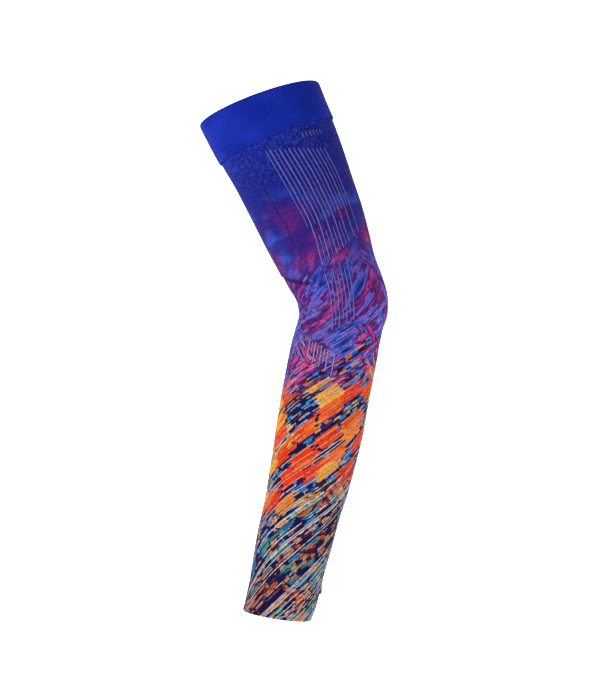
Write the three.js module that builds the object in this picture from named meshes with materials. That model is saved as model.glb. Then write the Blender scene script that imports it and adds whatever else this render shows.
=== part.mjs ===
// Arm compression sleeve: one knitted tube with a turned welt at the upper arm and a hemmed
// cuff at the wrist, in the form it has when worn with the elbow a little bent.
// Millimetres, +Z up, +X towards the point of the elbow, -Y is the side that faces the viewer.
// The origin is the centre of the upper opening.

import * as THREE from 'three';
import { LoftGeometry } from 'three/addons/geometries/LoftGeometry.js';
import { mergeVertices } from 'three/addons/utils/BufferGeometryUtils.js';

// Driving sizes of the worn sleeve
const sleeveLength = 427;
const upperWidth = 99.4;
const elbowWidth = 72;
const forearmWidth = 70.3;
const wristWidth = 54.6;

// Degrees: how far the upper arm leans from upright, and how far the elbow turns it back
const upperLean = 24.5;
const elbowBend = 36.5;

// Cloth
const tubeWall = 1.0;
const weltLayer = 1.0;
const hemLayer = 1.0;
const weltDepth = 33.3;
const cuffDepth = 23.6;
const weltLap = 8;
const cuffLap = 8;
const seamGap = 0.3;
const tubeJoint = 0.2;

// Rolled-in edge of the welt
const rimCurl = 0.6;
const rimCurlDepth = 4;

// Raised wales, the fold in the crook and the ridge above the cuff
const ribHeight = 0.7;
const ribFade = 5;
const creaseDepth = 2.0;
const creaseLip = 0.9;
const creaseReach = 3.2;
const ridgeHeight = 1.5;
const ridgeReach = 6;
const bandClearance = 4;

// How finely the faces follow the form
const frontColumns = 24;
const backColumns = 26;
const hemSteps = 4;
const lineSteps = 600;
const mergeTolerance = 1e-4;

// How far the arm's line has turned at each share of its length, as a share of elbowBend
const bends = [
  { at: 0.00, turned: 0.000 },
  { at: 0.08, turned: -0.005 },
  { at: 0.16, turned: 0.030 },
  { at: 0.25, turned: 0.070 },
  { at: 0.32, turned: 0.090 },
  { at: 0.36, turned: 0.190 },
  { at: 0.39, turned: 0.420 },
  { at: 0.415, turned: 0.640 },
  { at: 0.44, turned: 0.830 },
  { at: 0.47, turned: 0.960 },
  { at: 0.53, turned: 0.985 },
  { at: 0.60, turned: 0.960 },
  { at: 0.70, turned: 0.990 },
  { at: 0.80, turned: 1.030 },
  { at: 1.00, turned: 1.050 },
];

// Sections of the tube's outer skin. at: share of sleeveLength. width: share of the named width.
// depth: front to back, as a share of the section's own width. shift: towards the point of the
// elbow, as a share of elbowWidth. skew: degrees by which the section is turned from square.
// pitch: degrees by which its front rides up.
const sections = [
  { at: 0.00, of: upperWidth, width: 1.000, depth: 0.88, shift: -0.004, skew: -4.4, pitch: 3.2 },
  { at: 0.04, of: upperWidth, width: 0.982, depth: 0.88, shift: -0.004, skew: -3.2, pitch: 2.3 },
  { at: 0.08, of: upperWidth, width: 0.964, depth: 0.88, shift: 0.002, skew: -2.2, pitch: 1.5 },
  { at: 0.13, of: upperWidth, width: 0.926, depth: 0.89, shift: 0.008, skew: -1.0, pitch: 0.6 },
  { at: 0.20, of: upperWidth, width: 0.879, depth: 0.91, shift: 0.004, skew: 0.0, pitch: 0.0 },
  { at: 0.25, of: upperWidth, width: 0.848, depth: 0.93, shift: 0.005, skew: 0.0, pitch: 0.0 },
  { at: 0.30, of: upperWidth, width: 0.797, depth: 0.96, shift: 0.004, skew: 0.0, pitch: 0.0 },
  { at: 0.34, of: elbowWidth, width: 1.029, depth: 0.99, shift: 0.006, skew: 0.0, pitch: 0.0 },
  { at: 0.375, of: elbowWidth, width: 1.000, depth: 1.00, shift: 0.032, skew: 0.0, pitch: 0.0 },
  { at: 0.40, of: elbowWidth, width: 1.006, depth: 0.98, shift: 0.048, skew: 0.0, pitch: 0.0 },
  { at: 0.42, of: elbowWidth, width: 0.990, depth: 0.98, shift: 0.048, skew: 0.0, pitch: 0.0 },
  { at: 0.445, of: elbowWidth, width: 0.950, depth: 1.00, shift: 0.022, skew: 0.0, pitch: 0.0 },
  { at: 0.47, of: forearmWidth, width: 0.981, depth: 0.98, shift: 0.010, skew: 0.0, pitch: 0.0 },
  { at: 0.50, of: forearmWidth, width: 0.998, depth: 0.96, shift: 0.006, skew: 0.0, pitch: 0.0 },
  { at: 0.60, of: forearmWidth, width: 0.998, depth: 0.95, shift: 0.009, skew: 0.0, pitch: 0.0 },
  { at: 0.65, of: forearmWidth, width: 0.989, depth: 0.93, shift: 0.014, skew: 0.0, pitch: 0.0 },
  { at: 0.70, of: forearmWidth, width: 0.956, depth: 0.91, shift: 0.013, skew: 0.0, pitch: 0.0 },
  { at: 0.75, of: forearmWidth, width: 0.923, depth: 0.89, shift: 0.012, skew: 0.0, pitch: 0.0 },
  { at: 0.80, of: forearmWidth, width: 0.878, depth: 0.86, shift: 0.006, skew: 0.0, pitch: 0.0 },
  { at: 0.85, of: wristWidth, width: 1.117, depth: 0.83, shift: 0.003, skew: 0.8, pitch: 0.0 },
  { at: 0.90, of: wristWidth, width: 1.076, depth: 0.81, shift: 0.006, skew: 2.4, pitch: 0.0 },
  { at: 0.945, of: wristWidth, width: 1.046, depth: 0.80, shift: 0.016, skew: 3.7, pitch: 0.0 },
  { at: 0.975, of: wristWidth, width: 1.037, depth: 0.80, shift: 0.017, skew: 4.4, pitch: 0.0 },
  { at: 1.00, of: wristWidth, width: 1.010, depth: 0.80, shift: 0.006, skew: 4.9, pitch: 0.0 },
];

// The close columns of the front, where the wales stand up: degrees round from the front,
// positive towards the point of the elbow
const fan = [
  { at: 0.00, left: -44, right: 49 },
  { at: 0.095, left: -44, right: 50 },
  { at: 0.195, left: -41, right: 60 },
  { at: 0.24, left: -38, right: 61 },
  { at: 0.28, left: -40, right: 62 },
  { at: 0.32, left: -47, right: 66 },
  { at: 0.41, left: -53, right: 53 },
  { at: 0.46, left: -47, right: 59 },
  { at: 0.53, left: -44, right: 59 },
  { at: 1.00, left: -44, right: 59 },
];

// Groups of wales. first and last: columns of the fan. every: columns from one wale to the
// next. from and to: where the first and last wale begin and end, as shares of sleeveLength.
// rise: share of ribHeight, below zero for a groove.
const waleGroups = [
  { first: 8, last: 20, every: 2, from: [0.093, 0.127], to: [0.335, 0.300], rise: 1.0 },
  { first: 2, last: 2, every: 2, from: [0.088, 0.088], to: [0.290, 0.290], rise: -0.6 },
  { first: 8, last: 12, every: 2, from: [0.360, 0.350], to: [0.462, 0.470], rise: 0.8 },
  { first: 2, last: 10, every: 2, from: [0.472, 0.492], to: [0.520, 0.545], rise: 0.9 },
];

// Where the fold in the crook runs, in degrees round and shares of sleeveLength, and how deep
const foldLine = [
  { round: -104, along: 0.316, deep: 0.00 },
  { round: -84, along: 0.319, deep: 0.45 },
  { round: -62, along: 0.331, deep: 1.00 },
  { round: -42, along: 0.345, deep: 0.85 },
  { round: -30, along: 0.352, deep: 0.00 },
];

// Where the ridge above the cuff runs, in degrees round, and how high
const ridgeLine = [
  { round: 20, high: 0.00 },
  { round: 60, high: 0.80 },
  { round: 90, high: 1.00 },
  { round: 120, high: 0.80 },
  { round: 160, high: 0.00 },
];

// Stretches of the tube. piece: the length of tube that it belongs to. to: where it ends, as a
// share of the whole tube. outer and inner: how many steps its rings take on each skin.
// The tube is knitted in one; it is cut into lengths here so that its hollow stays open.
const tubeStretches = [
  { piece: 'upper_arm_tube', to: 0.10, outer: 7, inner: 3 },
  { piece: 'upper_arm_tube', to: 0.266, outer: 8, inner: 3 },
  { piece: 'elbow_tube', to: 0.35, outer: 11, inner: 8 },
  { piece: 'elbow_tube', to: 0.54, outer: 9, inner: 6 },
  { piece: 'forearm_tube', to: 0.74, outer: 5, inner: 4 },
  { piece: 'wrist_tube', to: 0.94, outer: 5, inner: 3 },
  { piece: 'wrist_tube', to: 1.00, outer: 4, inner: 2 },
];

// Smooth value of a table's column between its rows, with no overshoot
function follow(table, key, column, where) {
  const last = table.length - 1;
  if (where <= table[0][key]) return table[0][column];
  if (where >= table[last][key]) return table[last][column];
  const slope = (i) => (table[i + 1][column] - table[i][column]) / (table[i + 1][key] - table[i][key]);
  const tangent = (i) => {
    if (i === 0) return slope(0);
    if (i === last) return slope(last - 1);
    const before = slope(i - 1);
    const after = slope(i);
    return before * after <= 0 ? 0 : (2 * before * after) / (before + after);
  };
  let row = 0;
  while (table[row + 1][key] < where) row += 1;
  const span = table[row + 1][key] - table[row][key];
  const t = (where - table[row][key]) / span;
  const start = (1 + 2 * t) * (1 - t) ** 2 * table[row][column];
  const leaving = t * (1 - t) ** 2 * span * tangent(row);
  const end = t ** 2 * (3 - 2 * t) * table[row + 1][column];
  const arriving = t ** 2 * (t - 1) * span * tangent(row + 1);
  return start + leaving + end + arriving;
}

// Lean of the arm's line from upright, in radians
function lean(at) {
  return THREE.MathUtils.degToRad(upperLean - elbowBend * follow(bends, 'at', 'turned', at));
}

// The arm's line, stepped down from the upper opening
const armLine = [new THREE.Vector3()];
for (let step = 0; step < lineSteps; step += 1) {
  const heading = lean((step + 0.5) / lineSteps);
  const stride = sleeveLength / lineSteps;
  const next = new THREE.Vector3(Math.sin(heading) * stride, 0, -Math.cos(heading) * stride);
  armLine.push(next.add(armLine[step]));
}

// Point of the arm's line, a share of the way down
function linePoint(at) {
  const place = THREE.MathUtils.clamp(at, 0, 1) * lineSteps;
  const step = Math.min(Math.floor(place), lineSteps - 1);
  return armLine[step].clone().lerp(armLine[step + 1], place - step);
}

// Width of the bare tube, each named width blended into the next
const widths = sections.map((row) => ({ at: row.at, width: row.of * row.width }));

// Degrees round of a column: the fan first, then the plain columns round the back
function columnAngle(column, at) {
  const left = follow(fan, 'at', 'left', at);
  const right = follow(fan, 'at', 'right', at);
  if (column < frontColumns) return left + ((right - left) * column) / (frontColumns - 1);
  const back = (column - frontColumns + 1) / (backColumns + 1);
  return right + (360 + left - right) * back;
}

// 0 under the welt and the cuff, 1 on the tube that shows between them
function shows(at) {
  const belowWelt = at * sleeveLength - weltDepth;
  const aboveCuff = (1 - at) * sleeveLength - cuffDepth;
  return THREE.MathUtils.smoothstep(Math.min(belowWelt, aboveCuff), 0, bandClearance);
}

// Height of the raised wales and the groove at a column of the fan
function waleRise(column, at) {
  let rise = 0;
  for (const group of waleGroups) {
    const place = (column - group.first) / group.every;
    if (column < group.first || column > group.last || !Number.isInteger(place)) continue;
    const across = (column - group.first) / Math.max(group.last - group.first, 1);
    const begins = THREE.MathUtils.lerp(group.from[0], group.from[1], across);
    const ends = THREE.MathUtils.lerp(group.to[0], group.to[1], across);
    const inside = Math.min(at - begins, ends - at) * sleeveLength;
    rise += group.rise * ribHeight * THREE.MathUtils.smoothstep(inside, 0, ribFade);
  }
  return rise * shows(at);
}

// Fold in the crook: a lip above the line and a dent below it
function crookFold(round, at) {
  const turn = round > 180 ? round - 360 : round;
  const deep = follow(foldLine, 'round', 'deep', turn);
  const below = (at - follow(foldLine, 'round', 'along', turn)) * sleeveLength;
  const lip = creaseLip * Math.exp(-(((below + creaseReach) / creaseReach) ** 2));
  const dent = creaseDepth * Math.exp(-(((below - creaseReach) / creaseReach) ** 2));
  return deep * (lip - dent) * shows(at);
}

// Ridge where the tube gathers above the cuff
function cuffRidge(round, at) {
  const high = follow(ridgeLine, 'round', 'high', round);
  const above = (1 - at) * sleeveLength - cuffDepth;
  return above < 0 ? 0 : ridgeHeight * high * Math.exp(-((above / ridgeReach) ** 2));
}

// Edge of the welt, rolled inwards
function rimRoll(at) {
  const left = 1 - Math.min((at * sleeveLength) / rimCurlDepth, 1);
  return -rimCurl * left ** 2;
}

// Point of the cloth: a place along the sleeve in mm, a column, and a lift off the bare tube
function clothPoint(along, column, lift) {
  const at = along / sleeveLength;
  const round = THREE.MathUtils.degToRad(columnAngle(column, at));
  const half = follow(widths, 'at', 'width', at) / 2;
  const halfDepth = half * follow(sections, 'at', 'depth', at);
  const shift = elbowWidth * follow(sections, 'at', 'shift', at);
  const tilt = lean(at) + THREE.MathUtils.degToRad(follow(sections, 'at', 'skew', at));
  const pitch = THREE.MathUtils.degToRad(follow(sections, 'at', 'pitch', at));
  const outward = new THREE.Vector2(halfDepth * Math.sin(round), -half * Math.cos(round)).normalize();
  const across = shift + half * Math.sin(round) + lift * outward.x;
  const towardsBack = -halfDepth * Math.cos(round) + lift * outward.y;
  const up = -towardsBack * Math.tan(pitch);
  const x = Math.cos(tilt) * across - Math.sin(tilt) * up;
  const z = Math.sin(tilt) * across + Math.cos(tilt) * up;
  return new THREE.Vector3(x, towardsBack, z).add(linePoint(at));
}

// A closed band of cloth: its outline, as places along and lifts, swept once round the arm.
// The outline runs up the outer skin and down the inner one.
function sweptBand(outline, extraLift) {
  const rings = outline.map((spot) => {
    const ring = [];
    for (let column = 0; column < frontColumns + backColumns; column += 1) {
      const lift = spot.lift + extraLift(spot, column);
      ring.push(clothPoint(spot.along, column, lift));
    }
    return ring;
  });
  const geometry = new THREE.BufferGeometry().copy(new LoftGeometry([...rings, rings[0]]));
  geometry.deleteAttribute('uv');
  geometry.deleteAttribute('normal');
  const closed = mergeVertices(geometry, mergeTolerance);
  closed.computeVertexNormals();
  return closed;
}

// Half round of a turned edge, from one skin over to the other
function turnedEdge(edgeAlong, fromLift, toLift, intoBand) {
  const radius = Math.abs(toLift - fromLift) / 2;
  const middle = (fromLift + toLift) / 2;
  const spots = [];
  for (let step = 0; step <= hemSteps; step += 1) {
    const angle = (Math.PI * step) / hemSteps;
    const along = edgeAlong + intoBand * radius * (1 - Math.sin(angle));
    spots.push({ along, lift: middle + (fromLift - middle) * Math.cos(angle) });
  }
  return spots;
}

// Even steps of one skin, both ends included
function skin(fromAlong, toAlong, steps, lift) {
  const spots = [];
  for (let step = 0; step <= steps; step += 1) {
    spots.push({ along: fromAlong + ((toAlong - fromAlong) * step) / steps, lift });
  }
  return spots;
}

// Rings of one skin of a length of tube, closest where the wales and the fold are. Where two
// lengths meet, each ends half a joint gap short.
function tubeSkin(piece, skinName, lift) {
  const whole = tubeBottom - tubeTop;
  const firstRow = tubeStretches.findIndex((stretch) => stretch.piece === piece);
  const lastRow = tubeStretches.findLastIndex((stretch) => stretch.piece === piece);
  const spots = [];
  for (let row = firstRow; row <= lastRow; row += 1) {
    const start = row === 0 ? 0 : tubeStretches[row - 1].to;
    const end = tubeStretches[row].to;
    const steps = tubeStretches[row][skinName];
    for (let step = row === firstRow ? 0 : 1; step <= steps; step += 1) {
      const share = start + ((end - start) * step) / steps;
      spots.push({ along: tubeTop + whole * share, lift, skinName });
    }
  }
  if (firstRow > 0) spots[0].along += tubeJoint / 2;
  if (lastRow < tubeStretches.length - 1) spots[spots.length - 1].along -= tubeJoint / 2;
  return spots;
}

// Places along the sleeve where the pieces meet
const tubeTop = weltDepth - weltLap;
const tubeBottom = sleeveLength - cuffDepth;
const cuffTongueTop = tubeBottom - cuffLap;
const weltOuterLift = seamGap + weltLayer;
const tongueLift = -(tubeWall + seamGap);
const cuffInnerLift = tongueLift - hemLayer;

// Welt: two layers turned over at the rim, the outer one lapping over the tube's upper end
function upperWelt() {
  const weltSteps = 4;
  const lapSteps = 2;
  const edge = (weltOuterLift + tubeWall) / 2;
  const outline = [
    ...skin(weltDepth, edge, weltSteps, weltOuterLift).slice(0, -1),
    ...turnedEdge(0, weltOuterLift, -tubeWall, 1),
    ...skin(edge, tubeTop - seamGap, weltSteps, -tubeWall).slice(1),
    ...skin(tubeTop - seamGap, weltDepth, lapSteps, seamGap),
  ];
  return sweptBand(outline, (spot) => rimRoll(spot.along / sleeveLength));
}

// A length of the tube: one wall of knit. The lengths run from inside the welt to the top of the cuff
function tubeLength(piece) {
  const outline = [
    ...tubeSkin(piece, 'outer', 0).reverse(),
    ...tubeSkin(piece, 'inner', -tubeWall),
  ];
  return sweptBand(outline, (spot, column) => {
    const at = spot.along / sleeveLength;
    const round = columnAngle(column, at);
    const relief = spot.skinName === 'outer' ? waleRise(column, at) : 0;
    return relief + crookFold(round, at) + cuffRidge(round, at);
  });
}

// Cuff: a hem of two layers, with a tongue that the tube's lower end laps over
function wristCuff() {
  const cuffSteps = 4;
  const tongueSteps = 2;
  const edge = -cuffInnerLift / 2;
  const outline = [
    ...turnedEdge(sleeveLength, cuffInnerLift, 0, -1),
    ...skin(sleeveLength - edge, tubeBottom + seamGap, cuffSteps, 0).slice(1),
    ...skin(tubeBottom + seamGap, cuffTongueTop, tongueSteps, tongueLift),
    ...skin(cuffTongueTop, sleeveLength - edge, cuffSteps, cuffInnerLift).slice(0, -1),
  ];
  return sweptBand(outline, () => 0);
}

function clothMesh(name, geometry, color, roughness) {
  const mesh = new THREE.Mesh(geometry, new THREE.MeshStandardMaterial({ color, roughness, metalness: 0 }));
  mesh.name = name;
  return mesh;
}

const sleeve = new THREE.Group();
sleeve.add(clothMesh('upper_welt', upperWelt(), '#1128a2', 0.85));
sleeve.add(clothMesh('upper_arm_tube', tubeLength('upper_arm_tube'), '#37308f', 0.8));
sleeve.add(clothMesh('elbow_tube', tubeLength('elbow_tube'), '#6b438d', 0.8));
sleeve.add(clothMesh('forearm_tube', tubeLength('forearm_tube'), '#af644c', 0.8));
sleeve.add(clothMesh('wrist_tube', tubeLength('wrist_tube'), '#786665', 0.8));
sleeve.add(clothMesh('wrist_cuff', wristCuff(), '#6e6058', 0.8));

export default sleeve;
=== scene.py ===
"""Knitted arm sleeve, dressed: printed tube with raised wales, plain turned welt and hemmed cuff.

Metres, +Z up, +X towards the point of the elbow, -Y is the side that faces the camera. The origin is the
centre of the upper opening. Places along the sleeve run down from that opening.
"""

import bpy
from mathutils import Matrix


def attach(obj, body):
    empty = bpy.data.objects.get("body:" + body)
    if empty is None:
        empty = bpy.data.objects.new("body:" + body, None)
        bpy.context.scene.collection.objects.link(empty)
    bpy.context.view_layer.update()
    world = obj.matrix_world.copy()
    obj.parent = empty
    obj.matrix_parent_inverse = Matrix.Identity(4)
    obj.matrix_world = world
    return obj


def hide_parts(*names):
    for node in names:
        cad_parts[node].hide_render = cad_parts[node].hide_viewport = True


bl_info = {
    "name": "Knitted arm sleeve",
    "version": (1, 0, 0),
    "blender": (4, 5, 0),
    "location": "3D View > Sidebar > Sleeve",
    "description": "Builds a knitted arm sleeve in worn form, with its print, stage and camera",
    "category": "Object",
}

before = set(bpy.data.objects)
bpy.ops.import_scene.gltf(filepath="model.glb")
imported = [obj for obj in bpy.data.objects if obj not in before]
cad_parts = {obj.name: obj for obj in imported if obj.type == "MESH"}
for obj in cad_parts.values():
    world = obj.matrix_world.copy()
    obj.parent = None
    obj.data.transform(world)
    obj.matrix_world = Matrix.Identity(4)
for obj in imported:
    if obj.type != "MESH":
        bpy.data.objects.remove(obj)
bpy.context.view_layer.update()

import bisect
import math
from collections import namedtuple

import bmesh
import bpy
from mathutils import Vector

MM = 0.001
TURN = 360.0

# How far the arm's line has turned at each share of its length, as a share of the elbow's bend
BENDS = (
    (0.00, 0.000), (0.08, -0.005), (0.16, 0.030), (0.25, 0.070), (0.32, 0.090),
    (0.36, 0.190), (0.39, 0.420), (0.415, 0.640), (0.44, 0.830), (0.47, 0.960),
    (0.53, 0.985), (0.60, 0.960), (0.70, 0.990), (0.80, 1.030), (1.00, 1.050),
)

# Sections of the bare tube. at: share of the length. of: the named width. width: share of it.
# depth: share of the section's own width. shift: share of the elbow's width, towards its point.
# skew: degrees turned from square. pitch: degrees by which the front rides up
Section = namedtuple("Section", "at of width depth shift skew pitch")
SECTIONS = (
    Section(0.00, "upper_width", 1.000, 0.88, -0.004, -4.4, 3.2),
    Section(0.04, "upper_width", 0.982, 0.88, -0.004, -3.2, 2.3),
    Section(0.08, "upper_width", 0.964, 0.88, 0.002, -2.2, 1.5),
    Section(0.13, "upper_width", 0.926, 0.89, 0.008, -1.0, 0.6),
    Section(0.20, "upper_width", 0.879, 0.91, 0.004, 0.0, 0.0),
    Section(0.25, "upper_width", 0.848, 0.93, 0.005, 0.0, 0.0),
    Section(0.30, "upper_width", 0.797, 0.96, 0.004, 0.0, 0.0),
    Section(0.34, "elbow_width", 1.029, 0.99, 0.006, 0.0, 0.0),
    Section(0.375, "elbow_width", 1.000, 1.00, 0.032, 0.0, 0.0),
    Section(0.40, "elbow_width", 1.006, 0.98, 0.048, 0.0, 0.0),
    Section(0.42, "elbow_width", 0.990, 0.98, 0.048, 0.0, 0.0),
    Section(0.445, "elbow_width", 0.950, 1.00, 0.022, 0.0, 0.0),
    Section(0.47, "forearm_width", 0.981, 0.98, 0.010, 0.0, 0.0),
    Section(0.50, "forearm_width", 0.998, 0.96, 0.006, 0.0, 0.0),
    Section(0.60, "forearm_width", 0.998, 0.95, 0.009, 0.0, 0.0),
    Section(0.65, "forearm_width", 0.989, 0.93, 0.014, 0.0, 0.0),
    Section(0.70, "forearm_width", 0.956, 0.91, 0.013, 0.0, 0.0),
    Section(0.75, "forearm_width", 0.923, 0.89, 0.012, 0.0, 0.0),
    Section(0.80, "forearm_width", 0.878, 0.86, 0.006, 0.0, 0.0),
    Section(0.85, "wrist_width", 1.117, 0.83, 0.003, 0.8, 0.0),
    Section(0.90, "wrist_width", 1.076, 0.81, 0.006, 2.4, 0.0),
    Section(0.945, "wrist_width", 1.046, 0.80, 0.016, 3.7, 0.0),
    Section(0.975, "wrist_width", 1.037, 0.80, 0.017, 4.4, 0.0),
    Section(1.00, "wrist_width", 1.010, 0.80, 0.006, 4.9, 0.0),
)

# Edges of the fan of close columns at the front: share of the length, degrees round from the front
FAN_LEFT = (
    (0.00, -44), (0.095, -44), (0.195, -41), (0.24, -38), (0.28, -40),
    (0.32, -47), (0.41, -53), (0.46, -47), (0.53, -44), (1.00, -44),
)
FAN_RIGHT = (
    (0.00, 49), (0.095, 50), (0.195, 60), (0.24, 61), (0.28, 62),
    (0.32, 66), (0.41, 53), (0.46, 59), (0.53, 59), (1.00, 59),
)

# Columns of the fan, and of the wider ones between its two edges round the back
FAN_COLUMNS = 24
BACK_COLUMNS = 26

# Groups of raised wales. first, last: columns of the fan. every: columns from one to the next.
# begins, ends: places of the first and last wale, as shares of the length. rise: share of the
# wale's height
Wales = namedtuple("Wales", "first last every begins ends rise")
WALES = (
    Wales(8, 20, 2, (0.093, 0.127), (0.335, 0.300), 1.0),
    Wales(7, 19, 2, (0.091, 0.122), (0.262, 0.250), 0.75),
    Wales(9, 15, 2, (0.268, 0.258), (0.330, 0.315), 0.75),
    Wales(16.5, 21.5, 1, (0.086, 0.090), (0.108, 0.112), 0.85),
    # A negative rise makes a groove, which the print gives a painted shadow
    Wales(2, 2, 2, (0.088, 0.088), (0.270, 0.270), -0.4),
    Wales(8, 14, 2, (0.338, 0.322), (0.462, 0.440), 1.0),
    Wales(9, 13, 2, (0.352, 0.340), (0.450, 0.430), 0.9),
    Wales(2, 10, 2, (0.472, 0.492), (0.520, 0.545), 1.0),
    Wales(3, 7, 2, (0.478, 0.486), (0.512, 0.524), 0.85),
)

# Half the width of a wale, in columns of the fan
WALE_SPREAD = 0.30

# Fold in the crook: degrees round, share of the length, share of its depth
FOLD_PLACE = ((-104, 0.316), (-84, 0.319), (-62, 0.331), (-42, 0.345), (-30, 0.352))
FOLD_DEPTH = ((-104, 0.0), (-84, 0.45), (-62, 1.0), (-42, 0.85), (-30, 0.0))

# Stretch round the fold whose rows are close, as shares of the length
FOLD_ROWS = (0.305, 0.365)

# Small pleats that run from the crook. start, end: degrees round and share of the length. high,
# wide: millimetres
Pleat = namedtuple("Pleat", "start end high wide")
PLEATS = (
    Pleat((-47, 0.352), (-28, 0.333), 1.0, 1.4),
    Pleat((-70, 0.362), (-28, 0.380), 0.35, 3.0),
    Pleat((-78, 0.405), (-36, 0.428), 0.30, 3.4),
    Pleat((-66, 0.300), (-38, 0.312), 0.30, 3.0),
    Pleat((24, 0.330), (70, 0.352), 0.30, 3.6),
    Pleat((30, 0.445), (74, 0.430), 0.30, 3.6),
)

# Ridge above the cuff: degrees round, share of its height
RIDGE = ((20, 0.0), (60, 0.8), (90, 1.0), (120, 0.8), (160, 0.0))

# CAD nodes that the tube stands for
TUBE_NODES = ("upper_arm_tube", "elbow_tube", "forearm_tube", "wrist_tube")

# Material that the tube and the cuff share
PRINTED = "printed_polyamide_knit"

# Name of the cloth's UV map. U is turns round from the back, times PRINT_GIRTH. V is metres down
# the sleeve
KNIT_UV = "knit"
PRINT_GIRTH = 0.230
MM_ROUND = PRINT_GIRTH / MM

# Name of the attribute that tells the print where wales and creases are, for the painted highlight on
# crests, the painted shade on wales and the painted shadow in grooves and in the crease
RELIEF = "relief"


def linear(hex_value):
    """The linear colour of an sRGB hex value."""
    values = [int(hex_value[i:i + 2], 16) / 255 for i in (0, 2, 4)]
    return tuple(v / 12.92 if v <= 0.04045 else ((v + 0.055) / 1.055) ** 2.4 for v in values)


def length(name, millimetres, description):
    """A length that a user would change."""
    return bpy.props.FloatProperty(
        name=name, default=millimetres * MM, min=0.0, subtype="DISTANCE", unit="LENGTH",
        description=description)


def angle(name, degrees, description):
    """An angle that a user would change."""
    return bpy.props.FloatProperty(
        name=name, default=math.radians(degrees), subtype="ANGLE", unit="ROTATION",
        description=description)


def colour(name, hex_value, description):
    """A colour that a user would change, given as sRGB hex."""
    return bpy.props.FloatVectorProperty(
        name=name, default=linear(hex_value), size=3, min=0.0, max=1.0, subtype="COLOR",
        description=description)


class SleeveSizes(bpy.types.PropertyGroup):
    """Sizes of the worn sleeve."""

    sleeve_length: length("Length", 427, "Along the arm's line, rim to rim")
    upper_width: length("Upper width", 99.4, "Across the tube at the upper opening")
    elbow_width: length("Elbow width", 72, "Across the tube at the elbow")
    forearm_width: length("Forearm width", 70.3, "Across the tube below the elbow")
    wrist_width: length("Wrist width", 54.6, "Across the tube at the wrist")
    upper_lean: angle("Upper lean", 24.5, "Lean of the upper arm from upright")
    elbow_bend: angle("Elbow bend", 36.5, "How far the elbow turns the arm back")
    tube_wall: length("Knit", 1.0, "Thickness of the tube's knit")
    welt_layer: length("Welt layer", 1.0, "Thickness of one layer of the welt")
    welt_depth: length("Welt depth", 33.3, "Rim to lower edge of the welt")
    welt_lap: length("Welt lap", 8.0, "How far the welt laps over the tube")
    cuff_depth: length("Cuff depth", 23.6, "Rim to upper edge of the cuff")
    cuff_lap: length("Cuff lap", 8.0, "How far the tube laps over the cuff's tongue")
    seam_gap: length("Seam gap", 0.3, "Clearance between lapped layers")
    wale_height: length("Wale height", 0.75, "How far a raised wale stands up")
    fold_depth: length("Fold depth", 2.0, "Depth of the fold in the crook")
    ridge_height: length("Ridge height", 1.5, "Height of the ridge above the cuff")


class SleeveColours(bpy.types.PropertyGroup):
    """Yarn and print colours of the sleeve."""

    royal: colour("Royal blue", "0c228f", "Plain knit of the welt")
    ground: colour("Blue ground", "1a2086", "Ground of the upper arm")
    ink_blue: colour("Ink blue", "262e90", "Blue clouds of the upper arm")
    violet: colour("Violet", "391f7c", "Clouds of the upper arm")
    plum: colour("Plum", "661f70", "Clouds above the elbow")
    # This colour is also the painted shade on the wales and the painted shadow in the crease and grooves
    dusk_and_shade: colour("Dusk", "1d1552", "Darkest threads of the upper arm")
    bright_blue: colour("Bright blue", "2f5acc", "Lighter patches of the elbow")
    orchid: colour("Orchid", "8a62c8", "Mid patches of the elbow")
    magenta: colour("Magenta", "b6409a", "Warm patches of the elbow")
    pink: colour("Pink", "dc5090", "Lightest patches of the elbow")
    # This colour also tints the painted highlight on the crests near the elbow
    pale: colour("Pale", "e6d8de", "Pale threads of the print")
    # Painted highlight on wale crests and the first pleat, and the pale yarn flecks below the welt
    highlight_and_fleck: colour("Glow", "7074c4", "What a stretched crest adds to the print")
    navy: colour("Navy", "17184a", "Dark threads of the forearm")
    sky: colour("Sky blue", "3a92d6", "Light blue dashes of the forearm")
    yellow: colour("Yellow", "f6ad3c", "Yellow patches of the forearm")
    orange: colour("Orange", "f87c2c", "Orange patches of the forearm")
    red: colour("Red orange", "ee421c", "Red patches of the forearm")
    peach: colour("Peach", "e8a878", "Light threads near the wrist")
    teal: colour("Teal", "58b6aa", "Teal threads near the wrist")
    mustard: colour("Mustard", "dcb25c", "Mustard threads near the wrist")
    maroon: colour("Maroon", "5b1d33", "Maroon threads near the wrist")


class StageSettings(bpy.types.PropertyGroup):
    """Camera, light and backdrop."""

    camera_distance: length("Camera distance", 1400, "From the camera to the sleeve's own plane")
    camera_across: length("Camera across", 32.6, "How far to the elbow's side the camera stands")
    camera_below: length("Camera below", 196.8, "How far below the upper opening the camera looks")
    frame_height: length("Frame height", 560, "Height of the picture at the sleeve's own plane")
    floor_below: length("Floor below", 640, "How far below the upper opening the floor lies")
    key_power: bpy.props.FloatProperty(name="Key light", default=9.5, min=0.0, unit="POWER",
                                       description="Power of the soft light from the upper left")
    fill_power: bpy.props.FloatProperty(name="Fill light", default=1.0, min=0.0, unit="POWER",
                                        description="Power of the soft light from the right")


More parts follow.
